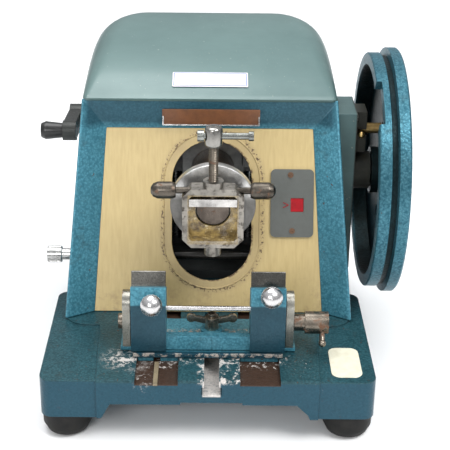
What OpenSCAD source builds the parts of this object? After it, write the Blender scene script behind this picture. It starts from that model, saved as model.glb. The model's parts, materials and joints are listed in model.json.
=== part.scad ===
// Rotary microtome, millimetres, +Z up, front of the machine towards -Y.
// The origin is on the bench, under the middle of the base.
// Inside at_deck() the numbers are measured from the front edge of the deck:
// x to the right, y to the back, z up from the deck.

/* [Base] */
// Width of the front part of the base
base_w = 260; // [256:1:268]
// Depth of the base from front to back
base_d = 340; // [338:1:352]
// Height of the base casting
base_h = 35; // [32:1:40]
// Height of a rubber foot
foot_h = 22; // [18:1:26]
// Depth of the wide front part of the base
wing_d = 144; // [138:1:150]
// Half width of the narrow rear part of the base
rear_hw = 120; // [119:0.5:122]

/* [Housing] */
// Lean of the front face back from vertical, degrees
front_lean = 20; // [19:0.5:21]
// Distance of the foot of the front face behind the deck edge
front_y = 93; // [92:0.5:94]
// Length of the front face up its slope
front_len = 183; // [182:0.5:184]
// Half width of the front face at the deck
front_hw_low = 120.5; // [120:0.5:122]
// Half width of the front face at the top
front_hw_top = 105.5; // [104:0.5:106]
// How far the front plate is set back in its frame
plate_depth = 12; // [11:0.5:13]
// Height of the housing walls above the deck
wall_top = 148; // [146:0.5:149]
// Wall thickness of the housing
wall_t = 5; // [4:0.5:6]

/* [Handwheel] */
// Outer radius of the handwheel
wheel_r = 105.5; // [103:0.5:107]
// Radius of the step on the wheel's inner side
wheel_step_r = 101.2; // [99:0.1:102]
// Turning angle of the crank pin above level at rest, degrees
crank_angle = 90; // [80:1:90]

/* [Specimen drive] */
// Crank radius, half the specimen stroke
crank_r = 22; // [20:0.5:22]
// Radius of the specimen arm
arm_r = 18; // [16:0.5:18]
// Radius of the flange on the arm
flange_r = 34; // [30:0.5:36]
// Teeth of the ratchet wheel
ratchet_teeth = 60; // [40:1:80]

/* [Knife holder] */
// Width of a knife tower
tower_w = 27.5; // [25:0.5:28]
// Distance from the middle to a tower's inner face
tower_x = 33; // [32:0.5:33.5]
// Radius of a domed clamp knob
knob_r = 8.4; // [7:0.1:9]

/* [Hidden] */
$fn = 64;
deck_z = foot_h + base_h;
axis_x = 3;                       // middle of the slot, the arm and the T-slot
arm_z = 108;                      // arm height at rest
shaft_y = 187;                    // main shaft
shaft_z = 98.4;
feed_z = arm_z - crank_r * sin(crank_angle);   // middle of the stroke
yoke_dz = shaft_z - feed_z;       // yoke slot above the arm
pin_y = shaft_y + crank_r * cos(crank_angle);
lip_x = 134.4;                    // inner side of the handwheel
face_x = 159.4;                   // outer side of the handwheel
web_x = 148;                      // inner side of the wheel's web
web_t = 5;
grip_x = 165;                     // folded handle
hinge_y = 272;
lock_z = 137;                     // wheel lock above the deck
crank_y = 287;                    // feed crank shaft
crank_z = feed_z + 24;
crank_len = 58;                   // feed crank radius
crank_rise = 6.5;                 // rise of the crank towards its handle
tilt_y = 48;                      // knife block pivot
tilt_z = 24;
bend_y = 33;                      // bend in the towers' front face
bend_z = 44;
rod_y = 46;                       // knife rod
rod_z = 37;
column_y = 230;                   // vertical guide columns
column_dx = 34;
guide_dz = [-38, 41];             // feed guide rods under and over the feed screw
knob_y = 150;                     // thickness shaft
knob_z = 32;
drum_y = 160;                     // number drum
drum_z = 86.5;
wing_drop = 1.5;                  // wings lie lower than the middle of the deck
track_z = -4;                     // floor of the two tracks
left_track = [-56, -23];
right_track = [25, 56];
plate_low_hw = 95;                // visible front plate
plate_top_hw = 85.3;
plate_top_s = 158.7;
slot_w = 66.6;                    // slot in the front plate
slot_low_s = 31.6;
slot_top_s = 149;
frame_t = 24;                     // depth of the front frame
box_y = 65;                       // front of the clamp box
box_d = 14;
box_dz = -2.5;                    // the box sits below the arm's middle
screw_y = 71.5;                   // clamp screw
bolt_y = 60;                      // T-bolt
left_s = 3.4;                     // clamp screws up the towers' leaning face
right_s = 10.2;
lid_z = 149;                      // lower edge of the top cover
hinge_pin_y = 335;
hinge_pin_z = 150;

// ---- frames and simple shapes ----
module at_deck() { translate([0, -base_d / 2, deck_z]) children(); }
module on_front(depth = 0) {
    translate([0, front_y, 0]) rotate([90 - front_lean, 0, 0]) translate([0, 0, -depth]) children();
}
module on_tower(x, s) {
    translate([x, bend_y, bend_z]) rotate([90 - front_lean, 0, 0]) translate([0, s, 0]) children();
}
module block(x, y, z) {
    translate([x[0], y[0], z[0]]) cube([x[1] - x[0], y[1] - y[0], z[1] - z[0]]);
}
module bar_x(r, x, y, z) { translate([x[0], y, z]) rotate([0, 90, 0]) cylinder(r = r, h = x[1] - x[0]); }
module bar_y(r, x, y, z) { translate([x, y[0], z]) rotate([-90, 0, 0]) cylinder(r = r, h = y[1] - y[0]); }
module bar_z(r, x, y, z) { translate([x, y, z[0]]) cylinder(r = r, h = z[1] - z[0]); }
module round_rect(w, h, r) {
    square([w - 2 * r, h], center = true);
    square([w, h - 2 * r], center = true);
    for (x = [-1, 1], y = [-1, 1]) translate([x * (w / 2 - r), y * (h / 2 - r)]) circle(r = r);
}
module obround(w, low, top) {
    translate([-w / 2, low + w / 2]) square([w, top - low - w]);
    for (s = [low + w / 2, top - w / 2]) translate([0, s]) circle(r = w / 2);
}
module trapezoid(hw_low, s_low, hw_top, s_top) {
    polygon([[-hw_low, s_low], [hw_low, s_low], [hw_top, s_top], [-hw_top, s_top]]);
}
module gear(r, h, teeth, depth) {
    n = teeth * 4;
    linear_extrude(h, center = true)
        polygon([for (i = [0 : n - 1]) (r - (i % 4 < 2 ? 0 : depth)) * [cos(i * 360 / n), sin(i * 360 / n)]]);
}

// ---- base ----
module base_outline(hw, y0, y1, r) {
    translate([0, (y0 + y1) / 2]) round_rect(2 * hw, y1 - y0, r);
}
module base_casting() {
    color([0.22, 0.38, 0.42]) at_deck() difference() {
        union() {
            translate([0, 0, -base_h]) linear_extrude(base_h - wing_drop) base_outline(base_w / 2, 0, wing_d, 9);
            translate([0, 0, -base_h]) linear_extrude(base_h)
                base_outline(rear_hw, wing_d - 60, base_d, 20);
            translate([0, 0, -base_h]) linear_extrude(base_h)
                polygon([[-86, -1.5], [86, -1.5], [91, wing_d - 30], [-91, wing_d - 30]]);
        }
        for (y = [[11, wing_d - 50], [wing_d - 40, base_d - 12]])
            block([-base_w / 2 + 22, -20], y, [-base_h - 1, -12]);
        for (y = [[11, wing_d - 50], [wing_d - 40, base_d - 12]])
            block([26, base_w / 2 - 22], y, [-base_h - 1, -12]);
        block([-21, 27], [-5, wing_d - 50], [-base_h - 1, -20]);
        translate([0, 12, -base_h - 1]) rotate([90, 0, 0]) linear_extrude(20)
            polygon([[-83, 0], [80, 0], [78, 5], [69, 14], [-75.4, 14]]);
        for (track = [left_track, right_track]) block(track, [-5, 112], [track_z, 5]);
        block([axis_x - 5.8, axis_x + 5.8], [-5, 105], [-8, 5]);
        block([axis_x - 8, axis_x + 8], [-5, 105], [-13.2, -6.3]);
    }
}
module rubber_feet() {
    color([0.06, 0.06, 0.06]) at_deck()
        for (p = [[-111, 20], [111, 20], [-96, base_d - 24], [96, base_d - 24]])
            translate([p[0], p[1], -base_h - foot_h]) rotate_extrude()
                polygon([[0, 0], [12, 0], [16.5, 3], [19.3, 9], [19.5, foot_h], [0, foot_h]]);
}
module gib_strip() {
    color([0.45, 0.42, 0.36]) at_deck() block([-42, -38.4], [-3, 30], [track_z, -2.4]);
}
module base_label() {
    color([0.78, 0.76, 0.62]) at_deck() translate([108, 29, -wing_drop]) linear_extrude(0.6)
        round_rect(24, 44, 7);
}

// ---- housing and front ----
module housing_slab(z, hw, inset) {
    translate([0, 0, z]) linear_extrude(0.5) {
        translate([-hw + inset, 60]) square([2 * (hw - inset), 230]);
        for (x = [-1, 1]) translate([x * (hw - 40), 290]) circle(r = 40 - inset, $fn = 32);
        translate([-hw + 40, 60]) square([2 * hw - 80, 270 - inset]);
    }
}
module housing_solid(inset, z0, z1) {
    hull() {
        housing_slab(z0, 118, inset);
        housing_slab(z1, 107, inset);
    }
}
module main_housing() {
    color([0.30, 0.50, 0.58]) at_deck() difference() {
        housing_solid(0, 0.3, wall_top - 0.5);
        housing_solid(wall_t, -1, wall_top + 1);
        on_front(frame_t + 0.2) translate([-150, -60, 0]) cube([300, 300, 160]);
        block([90, 140], [167, 214.5], [12, 160]);
        bar_x(9.05, [-140, -90], crank_y, crank_z);
        bar_x(6.2, [-140, -90], knob_y, knob_z);
    }
}
module front_frame() {
    color([0.33, 0.55, 0.64]) at_deck() difference() {
        on_front(frame_t) linear_extrude(frame_t)
            trapezoid(front_hw_low, -12, front_hw_top, front_len);
        hull() {
            on_front(0) linear_extrude(0.3)
                trapezoid(front_hw_low - 1.5, -20, front_hw_top - 2, front_len - 2);
            on_front(plate_depth) linear_extrude(0.3)
                trapezoid(plate_low_hw + 1.5, -20, plate_top_hw, plate_top_s);
        }
        on_front(frame_t + 1) linear_extrude(frame_t + 1.15 - plate_depth)
            trapezoid(plate_low_hw + 6.5, -20, plate_top_hw + 5, plate_top_s + 5);
        block([-200, 200], [0, 200], [-40, 0.3]);
    }
}
module front_plate() {
    color([0.80, 0.72, 0.53]) at_deck() difference() {
        union() {
            on_front(plate_depth + 2.6) linear_extrude(2.5) difference() {
                trapezoid(plate_low_hw + 5, 0, plate_top_hw + 4.7, plate_top_s + 4.7);
                translate([axis_x - 0.8, 0]) obround(slot_w, slot_low_s, slot_top_s);
                translate([73.6, 96]) square(9, center = true);
            }
            on_front(plate_depth + 0.2) linear_extrude(0.8) translate([axis_x - 0.8, 0]) difference() {
                obround(slot_w + 15, slot_low_s - 7.5, slot_top_s + 7.5);
                obround(slot_w + 13, slot_low_s - 6.5, slot_top_s + 6.5);
            }
        }
        block([-200, 200], [0, 200], [-40, 0.6]);
    }
}
module name_plate() {
    bevel = atan(plate_depth / (front_len - 2 - plate_top_s));
    color([0.45, 0.27, 0.14]) at_deck() on_front(plate_depth - 0.2) translate([0, plate_top_s, 0])
        rotate([bevel, 0, 0]) translate([1, 11.5, 0]) linear_extrude(0.9) round_rect(81, 14.5, 0.8);
}
module indicator_plate() {
    color([0.42, 0.43, 0.42]) at_deck() on_front(plate_depth) linear_extrude(1.8) difference() {
        translate([69.4, 97.4]) round_rect(36, 57, 4);
        translate([73.6, 96]) square([11, 11.6], center = true);
        for (p = [[67.8, 121.2], [69.6, 74.3]]) translate(p) circle(r = 1.6);
    }
}
module indicator_screws() {
    color([0.55, 0.55, 0.52]) at_deck() for (p = [[67.8, 121.2], [69.6, 74.3]])
        on_front(plate_depth) translate([p[0], p[1], 0]) {
            cylinder(r = 1.5, h = 1.9);
            difference() {
                translate([0, 0, 1.85]) cylinder(r = 2.4, h = 0.9);
                translate([-3, -0.3, 2.2]) cube([6, 0.6, 1]);
            }
        }
}
module indicator_window() {
    color([0.70, 0.07, 0.10]) at_deck() on_front(plate_depth) translate([73.6, 96, 0.1])
        linear_extrude(1.2) round_rect(10.8, 11.4, 0.6);
}

// ---- top cover ----
function cover_top(y) = 174 + 32 * (1 - pow(1 - min(1, max(0, (y - 156) / 150)), 2));
module cover_section(y, hw, top, r, inset) {
    translate([0, y + 0.5, 0]) rotate([90, 0, 0]) linear_extrude(0.5) {
        translate([-hw + inset, lid_z]) square([2 * (hw - inset), top - r - lid_z]);
        for (x = [-1, 1]) translate([x * (hw - r), top - r]) circle(r = r - inset, $fn = 32);
        translate([-hw + r, lid_z]) square([2 * (hw - r), top - inset - lid_z]);
    }
}
module cover_solid(inset) {
    hull() {
        cover_section(148 + inset, front_hw_top, 171, 5 + inset, inset);
        cover_section(156 + inset, front_hw_top, cover_top(156), 5 + inset, inset);
        cover_section(190, front_hw_top, cover_top(190), 14, inset);
        cover_section(232, front_hw_top, cover_top(232), 23, inset);
        cover_section(264, front_hw_top - 1, cover_top(264), 27, inset);
        cover_section(290 - inset, 102, cover_top(290), 32, inset);
        cover_section(310 - inset, 90.5, 203.5, 34, inset);
        cover_section(322 - inset, 76, 196, 32, inset);
        cover_section(329.4 - inset, 58, 183, 26, inset);
    }
}
module top_cover() {
    color([0.45, 0.58, 0.57]) at_deck() difference() {
        cover_solid(0);
        cover_solid(3);
        block([-120, 120], [140, 340], [100, lid_z]);
        on_front(frame_t + 0.4) translate([-150, -60, 0]) cube([300, front_len + 60.4, 60]);
    }
}
module cover_label() {
    slope = atan(32 * 2 * (1 - 20 / 150) / 150);
    color([0.86, 0.84, 0.85]) at_deck() translate([0, 176, cover_top(176) + 0.6]) rotate([slope, 0, 0])
        translate([0, 0, -0.4]) linear_extrude(0.6) round_rect(63, 19, 1);
}
module knuckles(y, z, starts, w) {
    for (x = starts) difference() {
        bar_x(4, [x, x + w], y, z);
        bar_x(2.05, [x - 1, x + w + 1], y, z);
    }
}
module cover_hinge() {
    color([0.50, 0.50, 0.48]) at_deck() {
        block([-40, 40], [330.1, 332], [126, 144.5]);
        for (x = [-40, -8, 24]) block([x, x + 16], [330.1, 332], [144, 149]);
        knuckles(hinge_pin_y, hinge_pin_z, [-40, -8, 24], 16);
        bar_x(2, [-41, 41], hinge_pin_y, hinge_pin_z);
    }
}
module cover_leaf() {
    color([0.50, 0.50, 0.48]) at_deck() {
        block([-40, 40], [329.95, 331.6], [156, 168]);
        for (x = [-23.7, 8.3]) block([x, x + 15.4], [329.95, 331.6], [151.5, 157]);
        knuckles(hinge_pin_y, hinge_pin_z, [-23.7, 8.3], 15.4);
    }
}

// ---- bearings and inner frame ----
module bearing_cheek() {
    color([0.40, 0.50, 0.50]) at_deck() difference() {
        union() {
            block([108, 124], [167.5, 214], [12.5, 156]);
            bar_x(16.4, [123, 138], shaft_y, shaft_z);
            bar_x(17, [92, 109], shaft_y, shaft_z);
            block([123, 133], [176, 198], [119, 155]);
        }
        bar_x(11.05, [80, 140], shaft_y, shaft_z);
        bar_x(4.6, [100, 140], shaft_y, lock_z);
        block([125.6, 140], [170, shaft_y], [lock_z - 2.4, lock_z + 2.4]);
    }
}
module bush(r, bore, x, y, z) {
    difference() {
        bar_x(r, x, y, z);
        bar_x(bore, [x[0] - 1, x[1] + 1], y, z);
    }
}
module bronze_bushes() {
    color([0.66, 0.50, 0.26]) at_deck() {
        bush(11, 8.05, [91.5, 137.5], shaft_y, shaft_z);
        bush(11, 8.05, [52, 66], shaft_y, shaft_z);
        bush(9, 5.05, [-113, -103], crank_y, crank_z);
        bush(12, 5.05, [-116, -113], crank_y, crank_z);
        bush(6.1, 4.05, [-119, -107], knob_y, knob_z);
        difference() {
            bar_y(8, axis_x, [309.2, 318], feed_z);
            bar_y(5.05, axis_x, [300, 330], feed_z);
        }
    }
}
module inner_frame() {
    color([0.36, 0.38, 0.38]) at_deck() difference() {
        union() {
            block([-58, 68], [168, 320], [0.3, 8]);
            block([52, 66], [171, 203], [7, 116]);
            block([-58, -51], [222, 320], [7, 158]);
            block([-58, 47], [222, 238], [150, 158]);
            block([-58, 47], [309, 318], [7, 134]);
            for (s = [-1, 1]) bar_z(9, axis_x + s * column_dx, column_y, [7, 14]);
        }
        bar_x(11.05, [45, 75], shaft_y, shaft_z);
        bar_y(8.05, axis_x, [300, 330], feed_z);
        for (dz = guide_dz) bar_y(4.02, axis_x, [300, 330], feed_z + dz);
        bar_x(5.06, [-65, -45], crank_y, crank_z);
        for (s = [-1, 1]) bar_z(5.02, axis_x + s * column_dx, column_y, [5, 160]);
    }
}
module guide_rods() {
    color([0.72, 0.73, 0.74]) at_deck() {
        for (s = [-1, 1]) bar_z(5, axis_x + s * column_dx, column_y, [5.5, 157]);
        for (dz = guide_dz) bar_y(4, axis_x, [242, 317], feed_z + dz);
    }
}
module indicator_bracket() {
    color([0.36, 0.38, 0.38]) at_deck() difference() {
        union() {
            block([93, 98], [147, 168.5], [4, 103]);
            block([84, 98], [142, 169], [0.3, 5]);
            bar_x(3, [85, 94], (knob_y + drum_y) / 2, (knob_z + drum_z) / 2);
        }
        on_front(frame_t + 0.5) translate([-150, -60, 0]) cube([300, 300, 100]);
        bar_x(4.05, [90, 100], knob_y, knob_z);
        bar_x(3.05, [90, 100], drum_y, drum_z);
    }
}

// ---- handwheel and its shaft ----
module handwheel() {
    color([0.30, 0.52, 0.60]) at_deck() difference() {
        union() {
            translate([0, shaft_y, shaft_z]) rotate([0, 90, 0]) rotate_extrude($fn = 96) polygon([
                [8.04, 139], [20, 139], [20, web_x], [89, web_x], [91, lip_x], [wheel_step_r - 1, lip_x],
                [wheel_step_r, lip_x + 1], [wheel_step_r, 144.2], [98.5, 145], [98.5, 149],
                [wheel_r, 149.8], [wheel_r, face_x - 1.5], [wheel_r - 1.5, face_x], [94, face_x],
                [92, web_x + web_t], [20, web_x + web_t], [16, face_x - 1.5], [14.5, face_x], [8.04, face_x]]);
            for (s = [-1, 1]) translate([0, 0, shaft_z + s * 8.9])
                block([web_x + 2, grip_x + 5], [hinge_y - 6, hinge_y + 6], [-2.3, 2.3]);
            bar_z(2.4, grip_x, hinge_y, [shaft_z - 9, shaft_z + 9]);
        }
        for (s = [-1, 1]) bar_x(5, [web_x - 2, web_x + web_t + 2], shaft_y, shaft_z + s * (lock_z - shaft_z));
        translate([0, shaft_y, shaft_z]) rotate([35, 0, 0])
            block([lip_x - 2, lip_x + 4.6], [-21, 21], [84, 110]);
    }
}
module main_shaft() {
    color([0.70, 0.71, 0.72]) at_deck() {
        bar_x(8, [44, 162], shaft_y, shaft_z);
        bar_x(12, [68, 91.2], shaft_y, shaft_z);
        bar_x(12, [face_x + 0.1, 164.5], shaft_y, shaft_z);
    }
}
module crank_disc() {
    color([0.50, 0.51, 0.52]) at_deck() {
        difference() {
            union() {
                bar_x(28, [40, 48], shaft_y, shaft_z);
                bar_x(13, [47, 51.5], shaft_y, shaft_z);
            }
            bar_x(8.02, [43.9, 60], shaft_y, shaft_z);
        }
        bar_x(3.5, [37.6, 41], pin_y, shaft_z + crank_r * sin(crank_angle));
    }
}
module handle_stem() {
    color([0.70, 0.71, 0.72]) at_deck() difference() {
        union() {
            bar_z(6, grip_x, hinge_y, [shaft_z - 6, shaft_z + 6]);
            bar_y(4, grip_x, [206, hinge_y - 4], shaft_z);
            bar_y(6.2, grip_x, [204.4, 208], shaft_z);
        }
        bar_z(2.5, grip_x, hinge_y, [shaft_z - 10, shaft_z + 10]);
    }
}
module handle_grip() {
    color([0.08, 0.08, 0.08]) at_deck() difference() {
        translate([grip_x, 208.3, shaft_z]) rotate([-90, 0, 0]) union() {
            cylinder(r1 = 8.4, r2 = 9.4, h = 12);
            translate([0, 0, 12]) cylinder(r1 = 9.4, r2 = 8.8, h = 28);
            translate([0, 0, 40]) cylinder(r1 = 8.8, r2 = 7, h = 15);
        }
        bar_y(4.06, grip_x, [200, 268], shaft_z);
    }
}
module lock_plunger() {
    color([0.72, 0.58, 0.30]) at_deck() {
        bar_x(4.5, [112, 146.8], shaft_y, lock_z);
        bar_y(1.8, 128.2, [170.5, shaft_y - 3], lock_z);
        translate([128.2, 169.5, lock_z]) sphere(r = 3);
    }
}

// ---- specimen slide, arm and head ----
module carriage() {
    yoke_z = arm_z + yoke_dz;
    color([0.47, 0.49, 0.50]) at_deck() difference() {
        union() {
            block([axis_x - 26, axis_x + 26], [162.5, 236], [arm_z - 27, arm_z + 27]);
            for (s = [-1, 1]) translate([axis_x + s * column_dx, 0, 0])
                block([-9, 9], [222, 238], [arm_z - 27, arm_z + 27]);
            block([axis_x + 25, 37], [157.4, 218], [yoke_z - 9, yoke_z + 9]);
            block([-50, -30], [226, 236], [70, 78]);
            block([-38, -30], [226, 236], [77, 82]);
        }
        block([axis_x + 26.5, 40], [159.2, 214.8], [yoke_z - 6.1, yoke_z + 6.1]);
        bar_y(arm_r + 0.05, axis_x, [150, 240], arm_z);
        for (s = [-1, 1]) bar_z(5.04, axis_x + s * column_dx, column_y, [50, 150]);
    }
}
module yoke_slider() {
    yoke_z = arm_z + yoke_dz;
    color([0.66, 0.50, 0.26]) at_deck() difference() {
        block([axis_x + 27, 37], [pin_y - 5.5, pin_y + 5.5], [yoke_z - 6, yoke_z + 6]);
        bar_x(3.55, [20, 40], pin_y, yoke_z);
    }
}
module specimen_arm() {
    color([0.60, 0.61, 0.62]) at_deck() {
        bar_y(arm_r, axis_x, [94, 240], arm_z);
        bar_y(9, axis_x, [85, 95], arm_z);
        bar_y(8, axis_x, [239, 247], arm_z);
        bar_y(5.5, axis_x, [246, 249.9], arm_z);
        difference() {
            translate([axis_x, box_y + box_d, arm_z]) rotate([90, 0, 0]) sphere(r = 13);
            block([-20, 30], [50, 77.3], [90, 130]);
            block([-20, 30], [86, 99], [90, 130]);
        }
    }
}
module arm_flange() {
    color([0.75, 0.76, 0.77]) at_deck() difference() {
        bar_y(flange_r, axis_x, [86.3, 93.8], arm_z);
        bar_y(9.05, axis_x, [80, 100], arm_z);
    }
}
module swivel_ring() {
    color([0.50, 0.50, 0.48]) at_deck() difference() {
        bar_y(19, axis_x, [80.9, 83.2], arm_z);
        bar_y(13.3, axis_x, [80, 90], arm_z);
    }
}
module box_outline(hx, hz, c) {
    polygon([[-hx + c, -hz], [hx - c, -hz], [hx, -hz + c], [hx, hz - c],
        [hx - c, hz], [-hx + c, hz], [-hx, hz - c], [-hx, -hz + c]]);
}
module clamp_box() {
    z = arm_z + box_dz;
    color([0.52, 0.50, 0.44]) at_deck() difference() {
        union() {
            translate([axis_x, box_y + box_d, z]) rotate([90, 0, 0]) linear_extrude(box_d)
                box_outline(24, 25, 7);
            bar_z(8, axis_x, screw_y, [z + 24, z + 30]);
            bar_z(6.6, axis_x, screw_y + 0.5, [z - 33, z - 24]);
        }
        translate([axis_x, box_y + box_d - 3, z]) rotate([90, 0, 0]) linear_extrude(20)
            box_outline(19, 19, 2.5);
        bar_y(13.85, axis_x, [70, 90], arm_z);
        bar_z(3.85, axis_x, screw_y, [z + 10, z + 40]);
        bar_z(4.6, axis_x, screw_y + 0.5, [z - 40, z - 26]);
        bar_x(2.65, [-30, axis_x - 8], screw_y, arm_z + 19);
        bar_x(2.65, [axis_x + 8, 40], screw_y, arm_z + 19);
    }
}
module clamp_jaw() {
    color([0.50, 0.50, 0.48]) at_deck() difference() {
        block([axis_x - 18.7, axis_x + 18.7], [box_y + 0.8, box_y + box_d - 3.3], [115.4, 121.7]);
        bar_z(3.84, axis_x, screw_y, [117.8, 130]);
        bar_y(13.6, axis_x, [box_y + 6.4, 90], arm_z);
    }
}
module clamp_screw() {
    color([0.45, 0.44, 0.42]) at_deck() difference() {
        union() {
            bar_z(3.8, axis_x, screw_y, [118.1, 165]);
            bar_z(6.75, axis_x, screw_y, [164, 180]);
        }
        bar_x(2.65, [-20, 30], screw_y, 172);
    }
}
module clamp_bar() {
    color([0.62, 0.63, 0.63]) at_deck() {
        bar_x(2.6, [-8, 31], screw_y, 172);
        bar_x(4.4, [-9.5, -4.2], screw_y, 172);
        bar_x(3.7, [29.5, 33.5], screw_y, 172);
    }
}
module side_screw(s) {
    color([0.36, 0.30, 0.25]) at_deck() translate([axis_x, screw_y, arm_z + 19]) rotate([0, s * 90, 0]) {
        translate([0, 0, 9]) cylinder(r = 2.6, h = 21);
        translate([0, 0, 29]) cylinder(r1 = 5.6, r2 = 6.7, h = 3);
        translate([0, 0, 32]) cylinder(r = 6.7, h = 11);
        translate([0, 0, 43]) cylinder(r1 = 6.7, r2 = 5.2, h = 3.5);
        translate([0, 0, 46.5]) cylinder(r1 = 5.2, r2 = 2.4, h = 1.9);
    }
}
module left_side_screw() { side_screw(-1); }
module right_side_screw() { side_screw(1); }

// ---- knife holder ----
module knife_base() {
    color([0.24, 0.42, 0.48]) at_deck() difference() {
        union() {
            block([-59, 59], [31, 88], [0.7, 4]);
            block([-69.5, 69.5], [42, 88], [0.7, 4]);
            block([left_track[0] + 0.5, -43], [33, 86], [track_z + 0.2, 1]);
            block([-37.5, left_track[1] - 0.5], [33, 86], [track_z + 0.2, 1]);
            block([right_track[0] + 0.5, right_track[1] - 0.5], [33, 86], [track_z + 0.2, 1]);
            bar_z(9, axis_x, bolt_y, [3, 11.5]);
        }
        bar_z(3.45, axis_x, bolt_y, [-5, 20]);
    }
}
module end_plate(x) {
    block([x, x + 6], [42, 62], [4, 40]);
    bar_x(10, [x, x + 6], 52, 39);
}
module end_plates() {
    color([0.55, 0.55, 0.53]) at_deck() difference() {
        for (x = [-67.6, 61.6]) end_plate(x);
        for (x = [[-70, -60], [60, 70]]) bar_x(4.05, x, tilt_y, tilt_z);
    }
}
module tower_profile() {
    c = cos(front_lean);
    s = sin(front_lean);
    function p(up, back) = [bend_y + up * s + back * c, bend_z + up * c - back * s];
    polygon([[bend_y, 5], [bend_y, bend_z], p(16, 0), p(16, 7), p(-1, 7), p(-1, 17), p(14, 17),
        p(14, 21), [57.5, 24], [57.5, 9.5], [50, 5]]);
}
module knife_block() {
    color([0.26, 0.46, 0.55]) at_deck() difference() {
        union() {
            for (x = [-tower_x - tower_w, tower_x]) translate([x, 0, 0]) rotate([90, 0, 90])
                linear_extrude(tower_w) tower_profile();
            block([-tower_x - 1, tower_x + 1], [36, 43], [5.2, 17.2]);
        }
        block([axis_x - 0.4, axis_x + 0.4], [30, 36.5], [5, 20]);
        bar_x(2.02, [-tower_x - 24, tower_x + 24], rod_y, rod_z);
        bar_x(4.05, [-70, -tower_x - 12], tilt_y, tilt_z);
        bar_x(4.05, [tower_x + 12, 70], tilt_y, tilt_z);
        on_tower(-tower_x - tower_w / 2 + 3, left_s) translate([0, 0, -7.4]) cylinder(r = 4.05, h = 12);
        on_tower(tower_x + tower_w / 2 + 2, right_s) translate([0, 0, -7.4]) cylinder(r = 4.05, h = 12);
    }
}
module knife_rod() {
    color([0.80, 0.81, 0.82]) at_deck() bar_x(2, [-tower_x - 23.5, tower_x + 23.5], rod_y, rod_z);
}
module t_bolt() {
    color([0.45, 0.40, 0.36]) at_deck() {
        bar_z(3.4, axis_x, bolt_y, [-8, 25]);
        block([axis_x - 7.6, axis_x + 7.6], [bolt_y - 6, bolt_y + 6], [-12.6, -7.2]);
    }
}
module wing_nut() {
    color([0.42, 0.27, 0.20]) at_deck() difference() {
        union() {
            bar_z(5.6, axis_x, bolt_y, [11.7, 22]);
            for (s = [-1, 1]) translate([axis_x, bolt_y, 17.6]) rotate([90, 0, 0]) {
                linear_extrude(3, center = true) polygon([[0, -3], [s * 16, 1], [s * 16, 5.4], [0, 2.4]]);
                translate([s * 16.6, 3.2, 0]) cylinder(r = 3.6, h = 3, center = true);
            }
        }
        bar_z(3.45, axis_x, bolt_y, [0, 30]);
    }
}
module tilt_bolt() {
    color([0.45, 0.38, 0.30]) at_deck() {
        bar_x(4, [tower_x + 14, 68.2], tilt_y, tilt_z);
        bar_x(6.75, [67.9, 77], tilt_y, tilt_z);
        bar_x(9, [76.5, 95], tilt_y, tilt_z);
        translate([90, tilt_y, tilt_z]) rotate([135, 0, 0]) {
            translate([0, 0, 7]) cylinder(r = 2.2, h = 9);
            translate([0, 0, 17]) sphere(r = 3);
        }
    }
}
module pivot_screw() {
    color([0.50, 0.46, 0.40]) at_deck() {
        bar_x(4, [-68, -tower_x - 14], tilt_y, tilt_z);
        difference() {
            bar_x(6.2, [-71, -67.7], tilt_y, tilt_z);
            block([-72, -69.8], [tilt_y - 7, tilt_y + 7], [tilt_z - 0.6, tilt_z + 0.6]);
        }
    }
}
module domed_screw(x, s) {
    color([0.78, 0.78, 0.80]) at_deck() on_tower(x, s) {
        translate([0, 0, -6.8]) cylinder(r = 4, h = 14);
        translate([0, 0, 6.6]) cylinder(r = knob_r, h = 3);
        intersection() {
            translate([0, 0, 6.4]) sphere(r = sqrt(knob_r * knob_r + 9));
            translate([0, 0, 9.5]) cylinder(r = knob_r, h = 10);
        }
    }
}
module left_clamp_screw() { domed_screw(-tower_x - tower_w / 2 + 3, left_s); }
module right_clamp_screw() { domed_screw(tower_x + tower_w / 2 + 2, right_s); }
module pressure_plate(x) {
    color([0.60, 0.61, 0.58]) at_deck() on_tower(x, 0) translate([-tower_w / 2 + 0.3, 1.5, -10.7])
        cube([tower_w - 0.6, 26.5, 3.6]);
}
module left_pressure_plate() { pressure_plate(-tower_x - tower_w / 2); }
module right_pressure_plate() { pressure_plate(tower_x + tower_w / 2); }

// ---- feed ----
module feed_nut() {
    color([0.52, 0.53, 0.53]) at_deck() difference() {
        union() {
            block([axis_x - 12, axis_x + 12], [250.3, 258], [feed_z - 44, feed_z + 47]);
            block([axis_x - 16, axis_x + 16], [257, 275], [feed_z - 9, feed_z + 9]);
            for (dz = guide_dz) bar_y(7, axis_x, [257, 267], feed_z + dz);
        }
        bar_y(5.05, axis_x, [255.5, 280], feed_z);
        for (dz = guide_dz) bar_y(4.05, axis_x, [240, 270], feed_z + dz);
    }
}
module feed_screw() {
    color([0.66, 0.67, 0.66]) at_deck() {
        bar_y(5, axis_x, [257, 319], feed_z);
        translate([axis_x, crank_y, feed_z]) rotate([90, 0, 0]) gear(11.8, 12, 18, 1.4);
    }
}
module ratchet_wheel() {
    n = ratchet_teeth;
    color([0.62, 0.60, 0.52]) at_deck() translate([axis_x, 302.2, feed_z]) rotate([90, 0, 0]) difference() {
        union() {
            linear_extrude(4, center = true) polygon([for (i = [0 : 2 * n - 1])
                (i % 2 == 0 ? 32 : 30.2) * [cos((i + (i % 2) * 0.8) * 180 / n), sin((i + (i % 2) * 0.8) * 180 / n)]]);
            cylinder(r = 9, h = 4.6, center = true);
        }
        cylinder(r = 5.03, h = 10, center = true);
    }
}
module crank_shaft() {
    color([0.66, 0.67, 0.66]) at_deck() {
        bar_x(5, [-131, 12], crank_y, crank_z);
        translate([axis_x, crank_y, crank_z]) rotate([0, 90, 0]) gear(11.8, 12, 18, 1.4);
    }
}
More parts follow.
